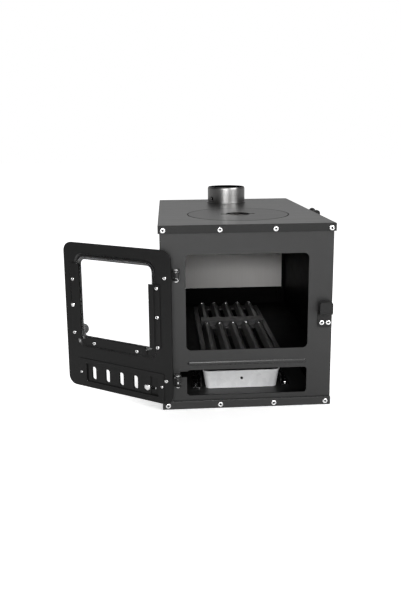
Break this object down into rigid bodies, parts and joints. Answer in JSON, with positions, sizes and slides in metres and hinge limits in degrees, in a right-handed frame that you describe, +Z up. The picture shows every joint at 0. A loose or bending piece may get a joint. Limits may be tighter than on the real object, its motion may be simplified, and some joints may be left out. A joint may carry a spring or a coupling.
{
  "type": "portable wood stove",
  "caption": "Steel camping wood stove with a glazed side-hinged door, air slide, bolted grate, sliding ash tray, lift-off hob lid and flue collar.",
  "frame": {"origin": "centre of the underside of the base pan, on the surface that the stove stands on", "axes": "+X to the right as seen from the front, +Y from the door to the back, +Z up"},
  "size_m": [0.5232, 0.4717, 0.383],
  "materials": {
    "casing": "satin heat-resistant black",
    "hob_plate": "satin heat-resistant black, rolled plate",
    "fire_iron": "dull black",
    "liner_steel": "dull grey",
    "galvanised": "mottled zinc",
    "bright_steel": "bright stainless",
    "flue_steel": "satin",
    "glass": "clear ceramic glass",
    "gasket": "woven glass tape",
    "knob": "polished black"
  },
  "bodies": {
    "casing": {"base_pan": "casing", "left_side": "casing", "right_side": "casing", "front_panel": "casing", "back_panel": "casing", "lid_seat_ring": "casing", "hinge_bracket_lower": "casing", "hinge_bracket_upper": "casing", "latch_keeper": "casing", "side_handle_bracket_front": "casing", "side_handle_bracket_rear": "casing", "side_handle": "casing", "top_pan": "hob_plate", "hearth_plate": "fire_iron", "grate_frame": "fire_iron", "drawer_guide_left": "fire_iron", "drawer_guide_right": "fire_iron", "grate_bar_front_1": "fire_iron", "grate_bar_front_2": "fire_iron", "grate_bar_front_3": "fire_iron", "grate_bar_front_4": "fire_iron", "grate_bar_front_5": "fire_iron", "grate_bar_rear_1": "fire_iron", "grate_bar_rear_2": "fire_iron", "grate_bar_rear_3": "fire_iron", "grate_bar_rear_4": "fire_iron", "grate_bar_rear_5": "fire_iron", "rear_liner": "liner_steel", "hinge_pin_lower": "bright_steel", "hinge_pin_upper": "bright_steel", "keeper_screw_1": "bright_steel", "keeper_screw_2": "bright_steel", "back_screw_1": "bright_steel", "back_screw_2": "bright_steel", "top_screw_1": "bright_steel", "top_screw_2": "bright_steel", "top_screw_3": "bright_steel", "top_screw_4": "bright_steel", "base_screw_5": "bright_steel", "base_screw_6": "bright_steel", "base_screw_7": "bright_steel", "base_screw_8": "bright_steel", "flue_collar": "flue_steel"},
    "door": {"door_plate": "casing", "door_glass": "glass", "glass_gasket": "gasket", "glass_strip_near": "casing", "glass_strip_far": "casing", "glass_strip_low": "casing", "slide_frame": "casing", "hinge_leaf_lower": "casing", "hinge_leaf_upper": "casing"},
    "air_control": {"air_slide": "casing", "air_knob": "bright_steel"},
    "latch": {"latch_spindle": "bright_steel", "latch_tongue": "casing", "latch_handle": "casing", "latch_knob": "knob"},
    "ash_tray": {"ash_drawer": "galvanised"},
    "lid": {"hob_lid": "hob_plate"}
  },
  "joints": [
    {"name": "door_hinge", "type": "hinge", "parent": "casing", "child": "door", "pos_m": [-0.1287, -0.2377, 0.1575], "axis": [0, 0, -1], "range_deg": [-211, 0]},
    {"name": "latch_turn", "type": "hinge", "parent": "door", "child": "latch", "pos_m": [-0.32336, -0.12073, 0.1807], "axis": [-0.515, -0.8572, 0], "range_deg": [0, 74.5]},
    {"name": "air_slide_travel", "type": "slide", "parent": "door", "child": "air_control", "axis": [0.8572, -0.515, 0], "range_m": [0, 0.014]},
    {"name": "ash_tray_slide", "type": "slide", "parent": "casing", "child": "ash_tray", "axis": [0, -1, 0], "range_m": [-0.04, 0.07]},
    {"name": "lid_lift", "type": "slide", "parent": "casing", "child": "lid", "axis": [0, 0, 1], "range_m": [0, 0.05]}
  ]
}
